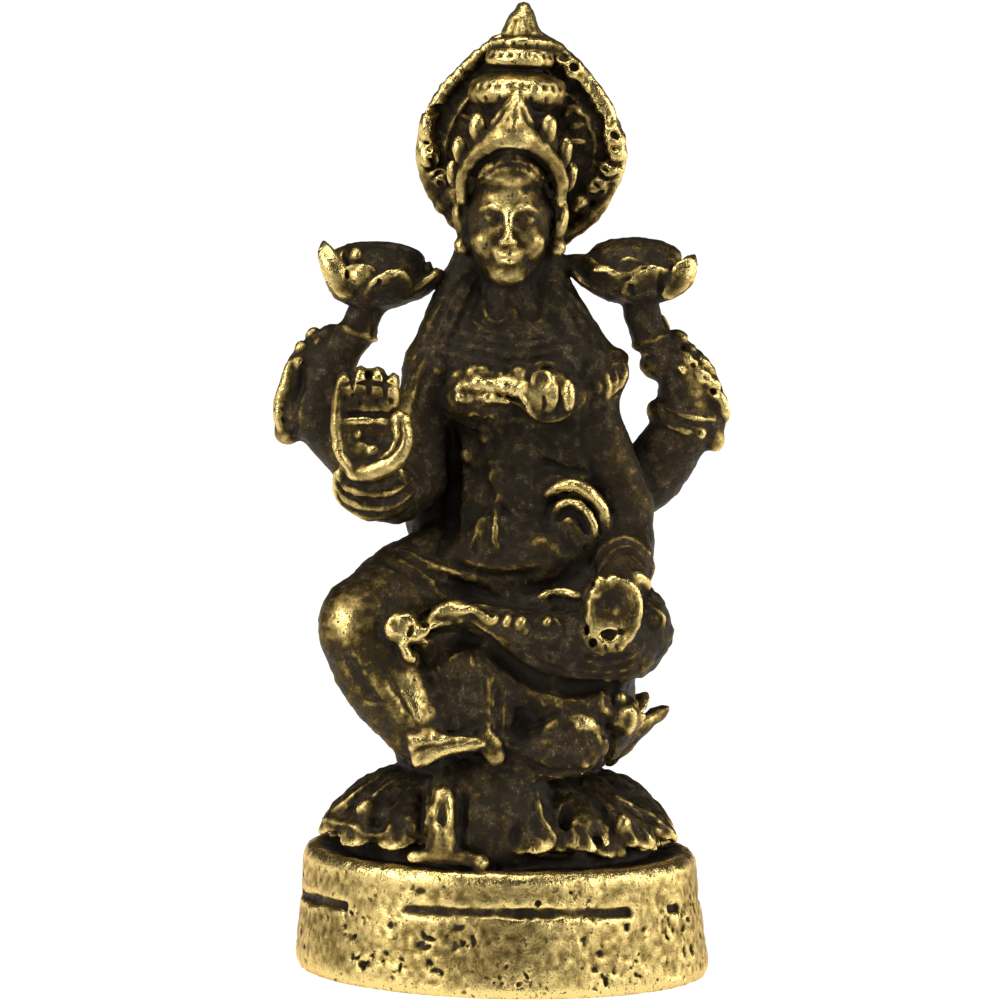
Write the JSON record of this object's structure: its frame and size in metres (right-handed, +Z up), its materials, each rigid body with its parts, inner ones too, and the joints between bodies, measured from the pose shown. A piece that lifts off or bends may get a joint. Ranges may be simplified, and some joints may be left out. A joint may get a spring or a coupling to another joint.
{
  "type": "lakshmi figure",
  "caption": "Cast brass miniature of the goddess Lakshmi seated on a lotus throne, holding lotus flowers, with a flame-edged halo, tall crown and oval plinth.",
  "frame": {"origin": "centre of the flat oval underside of the plinth, on the plane it stands on", "axes": "+Z up along the figure's height; the figure faces -Y, and +X is to the viewer's right"},
  "size_m": [0.0235, 0.019, 0.05],
  "materials": {
    "antiqued_brass": "cast brass with a dark brown patina, rubbed bright on the raised parts and on the plinth"
  },
  "bodies": {
    "root": {"lakshmi_figure": "antiqued_brass"}
  },
  "joints": []
}
